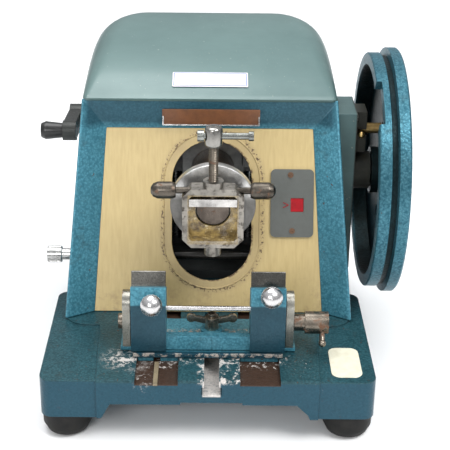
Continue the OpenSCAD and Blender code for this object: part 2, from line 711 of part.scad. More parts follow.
module crank_arm() {
    tilt = atan(crank_rise / crank_len);
    color([0.30, 0.31, 0.30]) at_deck() difference() {
        union() {
            bar_x(11, [-131.5, -119.5], crank_y, crank_z);
            translate([-131.5, crank_y, crank_z]) rotate([-tilt, 0, 0])
                block([0.3, 11.7], [1 - crank_len, -1], [-8, 8]);
            bar_x(9, [-131.5, -119.5], crank_y - crank_len, crank_z + crank_rise);
            bar_x(3, [-150, -131], crank_y - crank_len, crank_z + crank_rise);
        }
        bar_x(5.03, [-140, -110], crank_y, crank_z);
    }
}
module crank_handle() {
    color([0.07, 0.07, 0.07]) at_deck() difference() {
        translate([-131.8, crank_y - crank_len, crank_z + crank_rise]) rotate([0, -90, 0]) union() {
            cylinder(r1 = 6.6, r2 = 8.2, h = 15);
            translate([0, 0, 15]) cylinder(r1 = 8.2, r2 = 6.4, h = 4.2);
        }
        bar_x(3.06, [-152, -130], crank_y - crank_len, crank_z + crank_rise);
    }
}
module pawl_lever() {
    color([0.50, 0.51, 0.50]) at_deck() difference() {
        union() {
            bar_y(10, axis_x, [304.8, 308.4], feed_z);
            block([-50, axis_x], [304.8, 308.4], [feed_z - 6, feed_z + 6]);
            bar_y(2.5, -46.5, [228, 305], feed_z);
            translate([axis_x, 306.6, feed_z]) rotate([0, 35, 0])
                block([-42, 0], [-1.8, 1.8], [-5, 5]);
            translate([axis_x, 0, feed_z]) rotate([0, 35, 0]) bar_y(2, -38, [300.2, 306], 0);
        }
        bar_y(5.06, axis_x, [290, 320], feed_z);
    }
}
module pawl() {
    color([0.40, 0.38, 0.34]) at_deck() translate([axis_x, 0, feed_z]) rotate([0, 35, 0]) difference() {
        union() {
            bar_y(4, -38, [300.4, 304], 0);
            translate([-38, 0, 0]) rotate([0, -8, 0]) block([-3, 3], [300.4, 304], [0, 17]);
            translate([-38, 0, 0]) rotate([0, -8, 0]) block([-3, 10.7], [300.4, 304], [13, 17]);
        }
        bar_y(2.05, -38, [290, 310], 0);
    }
}
module thickness_knob() {
    color([0.72, 0.72, 0.70]) at_deck() {
        bar_x(7, [-139.4, -127], knob_y, knob_z);
        bar_x(5, [-127.2, -119.4], knob_y, knob_z);
        bar_x(4, [-120, 97.5], knob_y, knob_z);
        translate([88.5, knob_y, knob_z]) rotate([0, 90, 0]) gear(13.6, 5, 22, 1.3);
    }
}
module idler_gear() {
    color([0.66, 0.50, 0.26]) at_deck()
        translate([88.5, (knob_y + drum_y) / 2, (knob_z + drum_z) / 2]) rotate([0, 90, 0]) difference() {
            gear(13.6, 5, 22, 1.3);
            cylinder(r = 3.06, h = 10, center = true);
        }
}
module number_drum() {
    color([0.85, 0.84, 0.80]) at_deck() {
        bar_x(15, [67.5, 84], drum_y, drum_z);
        bar_x(3, [65, 98], drum_y, drum_z);
        translate([88.5, drum_y, drum_z]) rotate([0, 90, 0]) gear(13.6, 5, 22, 1.3);
    }
}

base_casting();
rubber_feet();
gib_strip();
main_housing();
front_frame();
front_plate();
name_plate();
base_label();
indicator_plate();
indicator_screws();
indicator_window();
bearing_cheek();
bronze_bushes();
inner_frame();
guide_rods();
indicator_bracket();
cover_hinge();
top_cover();
cover_label();
cover_leaf();
handwheel();
main_shaft();
crank_disc();
handle_stem();
handle_grip();
lock_plunger();
carriage();
yoke_slider();
specimen_arm();
arm_flange();
swivel_ring();
clamp_box();
clamp_jaw();
clamp_screw();
clamp_bar();
left_side_screw();
right_side_screw();
knife_base();
end_plates();
knife_block();
knife_rod();
t_bolt();
wing_nut();
tilt_bolt();
pivot_screw();
left_clamp_screw();
right_clamp_screw();
left_pressure_plate();
right_pressure_plate();
feed_nut();
feed_screw();
ratchet_wheel();
crank_shaft();
crank_arm();
crank_handle();
pawl_lever();
pawl();
thickness_knob();
idler_gear();
number_drum();
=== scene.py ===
"""Rotary microtome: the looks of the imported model.

Pieces are made in millimetres in the deck's frame: x to the right, y back from the deck's front
edge, z up from the deck. at() turns them into the row frame's metres.
"""
import json
import math

import bmesh
import bpy
from mathutils import Matrix, Vector


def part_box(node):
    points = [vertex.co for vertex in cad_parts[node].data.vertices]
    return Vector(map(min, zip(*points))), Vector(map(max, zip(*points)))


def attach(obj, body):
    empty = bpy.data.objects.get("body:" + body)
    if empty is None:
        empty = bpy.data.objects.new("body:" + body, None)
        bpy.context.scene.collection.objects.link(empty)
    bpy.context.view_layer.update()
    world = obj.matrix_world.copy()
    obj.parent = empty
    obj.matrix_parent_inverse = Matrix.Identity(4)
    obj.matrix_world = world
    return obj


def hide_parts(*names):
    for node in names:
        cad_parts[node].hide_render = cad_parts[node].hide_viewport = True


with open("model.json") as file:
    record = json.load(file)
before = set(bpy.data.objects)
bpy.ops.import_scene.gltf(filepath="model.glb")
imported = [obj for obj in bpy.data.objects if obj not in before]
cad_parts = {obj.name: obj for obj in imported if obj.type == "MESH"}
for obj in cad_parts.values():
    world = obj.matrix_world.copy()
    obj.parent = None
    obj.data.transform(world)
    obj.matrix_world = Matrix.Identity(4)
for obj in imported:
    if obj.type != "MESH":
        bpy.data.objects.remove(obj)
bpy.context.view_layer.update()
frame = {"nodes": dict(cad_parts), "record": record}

MM = 0.001
TAU = 2 * math.pi
DECK = Vector((0, -0.170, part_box("base_casting")[1].z))
nodes = frame["nodes"]

# places in the deck's frame
AXIS_X = 3                  # the slot, the arm and the T-slot
FRONT_Y = 93                # where the leaning front meets the deck's plane
LEAN = math.radians(20)
UP = (0, math.sin(LEAN), math.cos(LEAN))
OUT = (0, -math.cos(LEAN), math.sin(LEAN))
SHAFT_Y, SHAFT_Z = 187, 98.4
CRANK_Y, CRANK_Z = 287, 110
KNOB_Y, KNOB_Z = 150, 32    # thickness shaft
DRUM_Y, DRUM_Z = 160, 86.5
SCREW_Y = 71.5              # clamp screw


def at(x, y, z):
    """A point of the deck's frame in the row frame, in metres."""
    return DECK + Vector((x, y, z)) * MM


# ---- camera ----
def make_camera():
    """The camera looks 25 degrees down at the front."""
    data = bpy.data.cameras.new("camera")
    data.sensor_width = 36
    data.lens = 95.9
    data.shift_x = 0.0356
    data.clip_end = 50
    camera = bpy.data.objects.new("camera", data)
    pitch = Matrix.Rotation(math.radians(65), 4, "X")
    roll = Matrix.Rotation(math.radians(0.5), 4, "Z")
    camera.matrix_world = Matrix.Translation(at(0, -781, 495)) @ pitch @ roll
    bpy.context.scene.collection.objects.link(camera)
    bpy.context.scene.camera = camera


make_camera()
bpy.context.scene.view_settings.view_transform = "Standard"


# ---- shader building ----
class Shader:
    """A material's node tree, built by short calls."""

    def __init__(self, name, **sockets):
        self.material = bpy.data.materials.new(name)
        self.material.use_nodes = True
        self.tree = self.material.node_tree
        self.tree.nodes.clear()
        self.bsdf = self.tree.nodes.new("ShaderNodeBsdfPrincipled")
        output = self.tree.nodes.new("ShaderNodeOutputMaterial")
        self.tree.links.new(self.bsdf.outputs["BSDF"], output.inputs["Surface"])
        self.place = self.tree.nodes.new("ShaderNodeTexCoord").outputs["Object"]
        for key, value in sockets.items():
            self.bsdf.inputs[key.replace("_", " ")].default_value = value

    def feed(self, socket, value):
        if isinstance(value, bpy.types.NodeSocket):
            self.tree.links.new(value, socket)
        elif isinstance(value, tuple) and len(value) == 3 and socket.type == "RGBA":
            socket.default_value = (*value, 1)
        else:
            socket.default_value = value

    def node(self, kind, inputs, **settings):
        made = self.tree.nodes.new("ShaderNode" + kind)
        for key, value in settings.items():
            setattr(made, key, value)
        for key, value in inputs.items():
            self.feed(made.inputs[key], value)
        return made

    def stretched(self, x, y, z):
        return self.node("Mapping", {"Vector": self.place, "Scale": (x, y, z)}).outputs["Vector"]

    def noise(self, size, detail=3, rough=0.5, distortion=0.0, place=None):
        """Noise whose features are about size millimetres across."""
        inputs = {"Vector": place or self.place, "Scale": 1 / (size * MM), "Detail": detail,
                  "Roughness": rough, "Distortion": distortion}
        return self.node("TexNoise", inputs).outputs["Fac"]

    def cells(self, size, place):
        inputs = {"Vector": place, "Scale": 1 / (size * MM)}
        return self.node("TexVoronoi", inputs, feature="SMOOTH_F1").outputs["Distance"]

    def span(self, value, low, high, to_low=0.0, to_high=1.0):
        """Maps value from the range low to high onto to_low to to_high, and stops at both."""
        inputs = {"Value": value, "From Min": low, "From Max": high,
                  "To Min": to_low, "To Max": to_high}
        return self.node("MapRange", inputs).outputs["Result"]

    def math(self, operation, a, b=0.0):
        made = self.node("Math", {}, operation=operation)
        self.feed(made.inputs[0], a)
        self.feed(made.inputs[1], b)
        return made.outputs[0]

    def times(self, a, b):
        return self.math("MULTIPLY", a, b)

    def plus(self, a, b):
        return self.math("ADD", a, b)

    def mix(self, amount, a, b):
        made = self.node("Mix", {}, data_type="RGBA")
        self.feed(made.inputs["Factor"], amount)
        self.feed(made.inputs[6], a)
        self.feed(made.inputs[7], b)
        return made.outputs[2]

    def height(self, axis):
        """The row frame's coordinate along X, Y or Z, in metres."""
        return self.node("SeparateXYZ", {"Vector": self.place}).outputs[axis]

    def bump(self, height, depth, strength=1.0, under=None):
        inputs = {"Height": height, "Distance": depth * MM, "Strength": strength}
        if under:
            inputs["Normal"] = under
        return self.node("Bump", inputs).outputs["Normal"]

    def near(self, x, y, z, radius, soft):
        """1 within radius of a point of the deck's frame, fading to 0 over soft, in millimetres."""
        gap = self.node("VectorMath", {0: self.place, 1: tuple(at(x, y, z))}, operation="DISTANCE")
        return self.span(gap.outputs["Value"], (radius + soft) * MM, radius * MM)

    def within(self, low, high, soft=0.6):
        """1 inside a box of the deck's frame, fading to 0 over soft millimetres outside it."""
        split = self.node("SeparateXYZ", {"Vector": self.place})
        inside = 1.0
        for axis, a, b in zip("XYZ", at(*low), at(*high)):
            for edge, out in ((a, -soft), (b, soft)):
                side = self.span(split.outputs[axis], edge + out * MM, edge)
                inside = self.times(inside, side)
        return inside

    def done(self, colour=None, rough=None, normal=None, metal=None):
        values = {"Base Color": colour, "Roughness": rough, "Normal": normal, "Metallic": metal}
        for key, value in values.items():
            if value is not None:
                self.feed(self.bsdf.inputs[key], value)
        return self.material


# ---- materials ----
RUST = (0.075, 0.034, 0.016)
GRIME = (0.030, 0.034, 0.030)
TRACKS = ((-56, -23), (25, 56))     # the deck's two tracks, from x to x
DISH_RADIUS = 90.6                  # the hollow in the wheel's inner side
GROOVE_RADIUS = 99.6                # the groove between the wheel's two rims
SLOT_ENDS = (64.9, 115.7)           # centres of the slot's round ends, up the slope


def hammered(name, dark, light, metal=0.3, chips=0.69, coat=0.12, spec=0.3, marks=None):
    """Hammer-finish enamel: swirled cells, bright in the middle, worn to brown in small chips."""
    cell, rough = 1.8, 0.34
    s = Shader(name, Coat_Weight=coat, Coat_Roughness=0.2, Specular_IOR_Level=spec)
    warp = s.node("TexNoise", {"Vector": s.place, "Scale": 300, "Detail": 2}).outputs["Color"]
    shift = s.node("VectorMath", {0: warp, "Scale": 3.2 * MM}, operation="SCALE").outputs[0]
    place = s.node("VectorMath", {0: s.place, 1: shift}, operation="ADD").outputs[0]
    swirl = s.cells(cell, place)
    fine = s.noise(0.9, 4, 0.6)
    tone = s.plus(s.span(swirl, 0.1, 0.66), s.span(fine, 0.3, 0.7, -0.22, 0.22))
    colour = s.mix(tone, light, dark)
    wide = s.span(s.noise(60, 4, 0.6), 0.42, 0.7, 0, 0.4)
    colour = s.mix(wide, colour, tuple(0.55 * c for c in dark))
    grime = s.span(s.noise(14, 6, 0.7), 0.56, 0.72, 0, 0.45)
    colour = s.mix(grime, colour, GRIME)
    chip = s.span(s.noise(4.5, 5, 0.62), chips, chips + 0.02)
    colour = s.mix(chip, colour, RUST)
    roughness = s.plus(s.span(fine, 0.3, 0.7, rough - 0.06, rough + 0.1), s.times(chip, 0.35))
    roughness = s.plus(roughness, s.times(grime, 0.3))
    if marks:
        colour = marks(s, colour)
    normal = s.bump(s.math("SUBTRACT", swirl, s.times(chip, 0.5)), 0.4, 0.5)
    return s.done(colour, roughness, normal, s.times(s.math("SUBTRACT", 1.0, chip), metal))


def deck_marks(s, colour):
    """Bluer sides, bare brown track floors, and pale residue in and round the T-slot and tracks."""
    sides = s.within((-200, -50, -60), (200, 400, -3), 1)
    blue = s.mix(s.noise(1.6, 4, 0.6), (0.005, 0.032, 0.054), (0.017, 0.078, 0.118))
    colour = s.mix(s.times(sides, 0.8), colour, blue)
    brown = s.mix(s.noise(3, 5, 0.7), (0.020, 0.012, 0.008), (0.075, 0.042, 0.028))
    for low, high in TRACKS:
        colour = s.mix(s.within((low, -10, -4.4), (high, 112, -0.8), 0.3), colour, brown)
    pale = s.mix(s.noise(1.5, 3), (0.38, 0.34, 0.31), (0.72, 0.69, 0.66))
    thin = s.span(s.noise(4, 6, 0.78), 0.55, 0.6)
    patches = (
        (s.within((-3.5, -10, -14), (9.5, 60, -1), 1),
         s.span(s.noise(4, 6, 0.75), 0.36, 0.5, 0.45, 0.97)),
        (s.within((-6, -2, -1.5), (25, 40, 0.5), 3), s.span(s.noise(7, 6, 0.75), 0.52, 0.58)),
        (s.within((-52, 24, -5), (62, 36, 0.5), 4), thin),
        (s.near(-66, 30, 0, 5, 16), s.span(s.noise(5, 6, 0.8), 0.5, 0.55)),
        (s.near(-50, 8, -4, 4, 9), thin),
        (s.near(78, 22, 0, 2, 26), s.span(s.noise(3, 5, 0.7), 0.64, 0.68)),
    )
    for place, pattern in patches:
        colour = s.mix(s.times(place, pattern), colour, pale)
    return colour


def front_shade_and_residue(s, colour):
    """Painted shade on the top bar and the tower faces, and pale residue on the knife base's
    ledges.
    """
    # painted shade: the frame's top bar and the towers' front faces are darkened towards a deep
    # blue
    top = s.within((-100, 140, 152), (100, 166, 172), 6)
    towers = s.within((-62, 30, 0), (62, 34.3, 45), 1.2)
    for place, amount in ((top, 0.75), (towers, 0.9)):
        colour = s.mix(s.times(place, amount), colour, (0.004, 0.030, 0.048))
    pale = s.mix(s.noise(1.5, 3), (0.20, 0.15, 0.11), (0.55, 0.52, 0.48))
    crust = s.span(s.noise(5, 6, 0.75), 0.5, 0.55)
    shelf = s.math("MAXIMUM", s.within((-45, 43.5, 3), (45, 70, 6), 2),
                   s.within((-60, 30, 2), (60, 32, 5), 1))
    return s.mix(s.times(shelf, crust), colour, pale)


def wheel_painted_shade(s, colour):
    """Painted shade darkens the wheel's dish and the groove between its rims."""
    flat = s.node("VectorMath", {0: s.place, 1: (0, 1, 1)}, operation="MULTIPLY").outputs[0]
    hub = at(0, SHAFT_Y, SHAFT_Z)
    gap = s.node("VectorMath", {0: flat, 1: (0, hub.y, hub.z)}, operation="DISTANCE")
    radius = gap.outputs["Value"]
    low, high = (60, -20), (320, 220)
    dish = s.times(s.span(radius, (DISH_RADIUS + 1) * MM, DISH_RADIUS * MM),
                   s.within((134.2, *low), (148.4, *high), 0.3))
    groove = s.times(s.span(radius, (GROOVE_RADIUS + 1) * MM, GROOVE_RADIUS * MM),
                     s.within((144.4, *low), (149, *high), 0.2))
    dish_shade = s.times(dish, s.span(s.noise(20, 5, 0.6), 0.3, 0.7, 0.88, 0.99))
    # painted shade: near black in the dish and the groove
    return s.mix(s.math("MAXIMUM", dish_shade, s.times(groove, 0.9)), colour, (0.006, 0.008, 0.007))


def cheek_painted_shade(s, colour):
    """Painted shade turns the cheek's bearing boss dark behind the wheel."""
    boss = s.within((123.8, 100, -30), (145, 300, 180), 1.2)
    # painted shade behind the wheel, a dark brown varied by noise
    boss_shade = s.mix(s.noise(5, 5, 0.7), (0.010, 0.009, 0.007), (0.045, 0.036, 0.026))
    return s.mix(s.times(boss, 0.92), colour, boss_shade)


def smooth_paint(name, base, worn, coat=0.35, spec=0.5, marks=None):
    """Old sprayed enamel: fine orange peel, faded clouds, streaks along x and dust specks."""
    rough = 0.33
    s = Shader(name, Coat_Weight=coat, Coat_Roughness=0.2, Specular_IOR_Level=spec)
    cloud = s.span(s.noise(90, 4, 0.6), 0.35, 0.68)
    colour = s.mix(cloud, base, worn)
    streaks = s.noise(3, 3, 0.6, 0.4, s.stretched(0.15, 1, 1))
    colour = s.mix(s.span(streaks, 0.5, 0.8, 0, 0.15), colour, tuple(0.55 * c for c in base))
    speck = s.span(s.noise(1.6, 2), 0.735, 0.76)
    colour = s.mix(s.times(speck, 0.8), colour, (0.45, 0.45, 0.38))
    if marks:
        colour = marks(s, colour)
    peel = s.noise(1.4, 2)
    rough_map = s.span(cloud, 0, 1, rough, rough + 0.16)
    return s.done(colour, rough_map, s.bump(peel, 0.05, 0.6), 0.1)


def steel(name, base, rust, rough, grain=(1, 1, 1), rust_size=7, rust_colour=RUST, marks=None):
    """Worked steel: fine grain, tarnish clouds and brown rust in patches; rust runs from 0 to 1."""
    s = Shader(name)
    cloud = s.noise(16, 5, 0.6)
    line = s.noise(0.5, 2, 0.6, 0, s.stretched(*grain))
    tarnish = tuple(0.42 * c for c in base)
    colour = s.mix(s.span(cloud, 0.38, 0.68), base, tarnish)
    patch = s.noise(rust_size, 6, 0.68, 0.3)
    edge = 0.78 - 0.4 * rust
    spread = s.span(patch, edge, edge + 0.1)
    deep = s.mix(s.noise(1.2, 3), rust_colour, tuple(2.2 * c for c in rust_colour))
    colour = s.mix(spread, colour, deep)
    roughness = s.plus(s.span(line, 0.3, 0.7, rough - 0.08, rough + 0.14), s.times(spread, 0.4))
    metal = s.span(spread, 0, 1, 1.0, 0.15)
    if marks:
        colour, roughness, metal = marks(s, colour, roughness, metal)
    relief = s.plus(s.times(line, 0.35), s.times(patch, 0.65))
    return s.done(colour, roughness, s.bump(relief, 0.12, 0.5), metal)


def shaft_painted_shade(s, colour, roughness, metal):
    """Painted shade: the thickness shaft is dark and less metallic inside the housing."""
    inside = s.within((-117, 100, 10), (99, 200, 60), 1)
    metal = s.times(metal, s.span(inside, 0, 1, 1, 0.4))
    return s.mix(inside, colour, (0.020, 0.019, 0.017)), roughness, metal


def dull_marks(s, colour, roughness, metal):
    """An oxide film all over takes most of the metal's shine."""
    return colour, roughness, s.times(metal, 0.3)


def wax_marks(s, colour, roughness, metal):
    """Old wax, yellow to brown, lies inside the clamp box and on the jaw."""
    inside = s.within((-16.5, 65.4, 84), (22.5, 78, 125), 0.8)
    depth = s.span(s.noise(6, 5, 0.7), 0.35, 0.65)
    wax = s.mix(depth, (0.070, 0.042, 0.016), (0.430, 0.310, 0.110))
    wax = s.mix(s.span(s.noise(2.5, 4, 0.7), 0.6, 0.7), wax, (0.70, 0.62, 0.42))
    cover = s.times(inside, s.span(s.noise(8, 4, 0.6), 0.34, 0.46, 0.35, 0.95))
    roughness = s.plus(s.times(roughness, s.span(cover, 0, 1, 1, 0.3)), 0.08)
    metal = s.times(metal, s.span(cover, 0, 1, 1, 0.1))
    return s.mix(cover, colour, wax), roughness, metal


def flange_light_and_shade(s, colour, roughness, metal):
    """Painted light and shade: the flange keeps its bright steel on top and is painted dark below.
    """
    low = s.span(s.height("Z"), at(0, 0, 124).z, at(0, 0, 112).z)
    return s.mix(s.times(low, 0.85), colour, (0.040, 0.037, 0.032)), roughness, metal


def blade_painted_reflection(s, colour, roughness, metal):
    """The pressure plates are painted dark in front, as a dark reflection, with a bright ground
    edge on top.
    """
    dark = s.within((-70, 20, 20), (70, 70, 67.4), 0.4)
    return s.mix(s.times(dark, 0.8), colour, (0.060, 0.058, 0.050)), roughness, metal


def chrome():
    """Hazy plating with dark pits."""
    s = Shader("chrome_plate", Metallic=1.0)
    haze = s.noise(4, 5, 0.7)
    pit = s.span(s.noise(0.9, 3, 0.6), 0.68, 0.74)
    colour = s.mix(s.times(pit, 0.7), (0.56, 0.55, 0.55), (0.12, 0.09, 0.07))
    rough = s.plus(s.span(haze, 0.3, 0.75, 0.14, 0.36), s.times(pit, 0.3))
    return s.done(colour, rough, s.bump(haze, 0.03, 0.35))


def bronze(name, base, tarnish, rough=0.3):
    """A copper alloy with clouds of tarnish."""
    s = Shader(name, Metallic=1.0)
    cloud = s.span(s.noise(9, 5, 0.6), 0.35, 0.7)
    roughness = s.span(cloud, 0, 1, rough, rough + 0.25)
    return s.done(s.mix(cloud, base, tarnish), roughness, s.bump(s.noise(0.6, 2), 0.04, 0.5))


def cast_iron(name, base, metal=0.3, rough=0.55):
    """Primed or oiled casting: gritty, darker in clouds, with rust patches."""
    s = Shader(name)
    grit = s.noise(1.3, 4, 0.65)
    cloud = s.span(s.noise(22, 4, 0.6), 0.35, 0.7)
    colour = s.mix(cloud, base, tuple(0.5 * c for c in base))
    colour = s.mix(s.span(s.noise(6, 5, 0.7), 0.62, 0.74, 0, 0.6), colour, RUST)
    roughness = s.span(grit, 0.3, 0.7, rough - 0.1, rough + 0.15)
    return s.done(colour, roughness, s.bump(grit, 0.22, 0.5), metal)


def beige_enamel():
    """The front plate: brushed-on cream enamel, with painted shade and rust spots in a ring round
    the slot.
    """
    s = Shader("beige_enamel_paint", Coat_Weight=0.1, Coat_Roughness=0.35)
    streak = s.noise(2.2, 4, 0.6, 0.2, s.stretched(1, 0.12, 0.12))
    cloud = s.noise(48, 4, 0.6)
    colour = s.mix(s.span(streak, 0.3, 0.72), (0.500, 0.385, 0.180), (0.430, 0.322, 0.138))
    colour = s.mix(s.span(cloud, 0.45, 0.75, 0, 0.35), colour, (0.385, 0.290, 0.128))
    split = s.node("SeparateXYZ", {"Vector": s.place})
    foot = at(AXIS_X, FRONT_Y, 0)
    across = s.math("SUBTRACT", split.outputs["X"], foot.x)
    rise = s.times(s.math("SUBTRACT", split.outputs["Z"], foot.z), math.cos(LEAN))
    back = s.times(s.math("SUBTRACT", split.outputs["Y"], foot.y), math.sin(LEAN))
    up = s.plus(rise, back)
    middle = s.math("MINIMUM", s.math("MAXIMUM", up, SLOT_ENDS[0] * MM), SLOT_ENDS[1] * MM)
    off = s.math("SUBTRACT", up, middle)
    # how far a point is from the slot's middle line
    gap = s.math("SQRT", s.plus(s.times(across, across), s.times(off, off)))
    # painted shade round the slot, out to the raised ring
    ring = s.times(s.span(gap, 32 * MM, 36 * MM), s.span(gap, 46 * MM, 40 * MM))
    shade = s.times(ring, s.span(s.noise(16, 4, 0.6), 0.3, 0.7, 0.25, 0.8))
    colour = s.mix(shade, colour, (0.34, 0.255, 0.125))
    grime = s.span(s.noise(9, 6, 0.75), 0.5, 0.72, 0.0, 0.75)
    low = s.span(up, 46 * MM, 6 * MM)
    colour = s.mix(s.times(grime, low), colour, (0.25, 0.17, 0.085))
    edge = s.times(s.span(gap, 39.5 * MM, 41 * MM), s.span(gap, 44 * MM, 42.5 * MM))
    spot = s.times(edge, s.span(s.noise(2.4, 4, 0.7), 0.53, 0.58))
    spot = s.math("MAXIMUM", spot, s.span(s.noise(2.2, 5, 0.7), 0.72, 0.745))
    lip = s.times(s.span(gap, 34.6 * MM, 33.4 * MM), s.span(s.noise(5, 5, 0.7), 0.45, 0.55))
    spot = s.math("MAXIMUM", spot, lip)
    colour = s.mix(spot, colour, (0.085, 0.045, 0.020))
    normal = s.bump(s.math("SUBTRACT", streak, spot), 0.08, 0.6)
    return s.done(colour, s.span(cloud, 0.3, 0.7, 0.36, 0.5), normal)


def plastic(name, base):
    """Moulded plastic with pale scuffs."""
    s = Shader(name, Specular_IOR_Level=0.5)
    scuff = s.span(s.noise(3.5, 5, 0.7), 0.5, 0.75)
    colour = s.mix(s.times(scuff, 0.5), base, tuple(2.4 * c + 0.03 for c in base))
    return s.done(colour, s.span(scuff, 0, 1, 0.28, 0.53), s.bump(s.noise(1, 3), 0.04, 0.5))


def rubber():
    """Black rubber with a grey bloom."""
    s = Shader("black_rubber", Specular_IOR_Level=0.2)
    bloom = s.span(s.noise(12, 5, 0.65), 0.4, 0.75)
    colour = s.mix(bloom, (0.006, 0.006, 0.006), (0.022, 0.021, 0.019))
    return s.done(colour, s.span(bloom, 0, 1, 0.48, 0.8), s.bump(s.noise(0.9, 3, 0.6), 0.12, 0.6))


def printed(name, ground, stain, rough=0.4, amount=0.4):
    """Printed paper, glass or a small enamelled plate, stained in clouds."""
    s = Shader(name)
    cloud = s.span(s.noise(7, 5, 0.65), 0.4, 0.72, 0, amount)
    roughness = s.span(cloud, 0, 1, rough, rough + 0.2)
    return s.done(s.mix(cloud, ground, stain), roughness, s.bump(s.noise(0.7, 2), 0.03, 0.4))


MATERIALS = {
    "deck_paint": hammered("deck_hammered_paint", (0.009, 0.040, 0.050), (0.026, 0.086, 0.104),
                           metal=0.12, chips=0.66, coat=0.05, spec=0.22, marks=deck_marks),
    "hammered_blue": hammered("blue_hammered_paint", (0.034, 0.150, 0.208),
                              (0.088, 0.285, 0.365), marks=front_shade_and_residue),
    "wheel_paint": hammered("wheel_hammered_paint", (0.024, 0.092, 0.126), (0.076, 0.205, 0.258),
                            metal=0.5, chips=0.72, coat=0.0, spec=0.1, marks=wheel_painted_shade),
    "cover_paint": smooth_paint("cover_paint_faded", (0.086, 0.152, 0.146), (0.062, 0.118, 0.115)),
    "cheek_paint": smooth_paint("cheek_paint_shaded", (0.105, 0.180, 0.180), (0.060, 0.100, 0.100),
                                coat=0.05, spec=0.2, marks=cheek_painted_shade),
    "beige_enamel": beige_enamel(),
    "brown_plate": printed("brown_plate_enamel", (0.175, 0.070, 0.030), (0.080, 0.034, 0.016),
                           0.3, 0.7),
    "grey_plate": printed("grey_plate_enamel", (0.088, 0.094, 0.087), (0.060, 0.060, 0.052), 0.34),
    "cream_label": printed("cream_label_paper", (0.640, 0.620, 0.500), (0.420, 0.380, 0.260)),
    "white_label": printed("white_label_paper", (0.680, 0.640, 0.700), (0.540, 0.500, 0.600)),
    "red_window": printed("red_window_glass", (0.330, 0.004, 0.010), (0.120, 0.002, 0.004),
                          0.12, 0.5),
    "rubber": rubber(),
    "black_plastic": plastic("black_moulding", (0.008, 0.008, 0.008)),
    "drum_white": printed("drum_enamel", (0.750, 0.730, 0.640), (0.480, 0.440, 0.330), 0.35),
    "bright_steel": steel("ground_steel", (0.50, 0.50, 0.49), 0.16, 0.2, (0.2, 1, 1)),
    "worn_steel": steel("worn_steel_grey", (0.36, 0.35, 0.31), 0.42, 0.3),
    "rusty_steel": steel("rusty_steel_brown", (0.22, 0.19, 0.155), 0.58, 0.28),
    "screw_steel": steel("screw_steel_brown", (0.20, 0.12, 0.08), 0.5, 0.3, rust_size=3),
    "chrome": chrome(),
    "brass": bronze("lacquered_brass", (0.60, 0.42, 0.17), (0.22, 0.14, 0.06)),
    "bronze": bronze("cast_bronze", (0.36, 0.23, 0.10), (0.13, 0.085, 0.05), 0.36),
    "cast_iron": cast_iron("primed_cast_iron", (0.050, 0.056, 0.055)),
    "machined_iron": steel("machined_iron_face", (0.17, 0.17, 0.165), 0.30, 0.36),
    "dark_iron": cast_iron("dark_cast_iron", (0.050, 0.053, 0.050), 0.5, 0.42),
}


# ---- CAD nodes that stay: rounded edges and a material ----
def soften(name, width):
    """Rounds the CAD node's hard edges by width millimetres."""
    obj = nodes[name]
    obj.data.shade_smooth()
    weld = obj.modifiers.new("weld", "WELD")
    weld.merge_threshold = 0.005 * MM
    planar = obj.modifiers.new("planar", "DECIMATE")
    planar.decimate_type = "DISSOLVE"
    planar.angle_limit = math.radians(0.6)
    bevel = obj.modifiers.new("bevel", "BEVEL")
    bevel.width = width * MM
    bevel.segments = 2
    bevel.limit_method = "ANGLE"
    bevel.angle_limit = math.radians(32)
    bevel.harden_normals = False
    normals = obj.modifiers.new("normals", "WEIGHTED_NORMAL")
    normals.weight = 100


# how far each node's edges are rounded, where it isn't EDGE_DEFAULT
EDGE_DEFAULT = 0.3
EDGE = {
    "base_casting": 1.6, "front_frame": 1.8, "main_housing": 0.8, "front_plate": 0.35,
    "handwheel": 0.8, "bearing_cheek": 1.5, "knife_block": 0.9, "knife_base": 0.5,
    "end_plates": 0.7, "clamp_box": 0.8, "clamp_jaw": 0.5, "crank_arm": 1.0, "wing_nut": 0.8,
    "rubber_feet": 0.8, "carriage": 0.6, "left_pressure_plate": 0.5, "right_pressure_plate": 0.5,
    "indicator_plate": 0.25, "arm_flange": 0.6,
}
slots = {part["node"]: part["material_slot"] for part in frame["record"]["subparts"]}
# nodes whose material differs from their slot's
OWN = {
    "arm_flange": steel("flange_steel", (0.86, 0.85, 0.83), 0.22, 0.34, marks=flange_light_and_shade),
    "gib_strip": steel("gib_steel", (0.27, 0.22, 0.14), 0.5, 0.5, marks=dull_marks),
    "wing_nut": steel("wing_nut_steel", (0.52, 0.46, 0.38), 0.46, 0.28, rust_size=5),
    "clamp_bar": steel("clamp_bar_steel", (0.30, 0.31, 0.29), 0.36, 0.2),
    "thickness_knob": steel("ground_steel_shaft", (0.50, 0.50, 0.49), 0.16, 0.2, marks=shaft_painted_shade),
    "clamp_box": steel("clamp_steel_waxed", (0.30, 0.28, 0.25), 0.62, 0.28, grain=(1, 0.3, 1),
                       rust_size=4, rust_colour=(0.030, 0.024, 0.018), marks=wax_marks),
    "clamp_jaw": steel("jaw_steel_scuffed", (0.60, 0.58, 0.56), 0.40, 0.24, rust_size=4),
    "left_pressure_plate": steel("blade_steel", (0.52, 0.51, 0.48), 0.26, 0.2, marks=blade_painted_reflection),
    "left_side_screw": steel("side_knob_steel", (0.12, 0.105, 0.088), 0.52, 0.3),
    "specimen_arm": steel("arm_steel", (0.12, 0.10, 0.085), 0.5, 0.3),
}
OWN["right_pressure_plate"] = OWN["left_pressure_plate"]
OWN["right_side_screw"] = OWN["left_side_screw"]
for name, obj in nodes.items():
    obj.data.materials.clear()
    obj.data.materials.append(OWN.get(name) or MATERIALS[slots[name]])
    soften(name, EDGE.get(name, EDGE_DEFAULT))


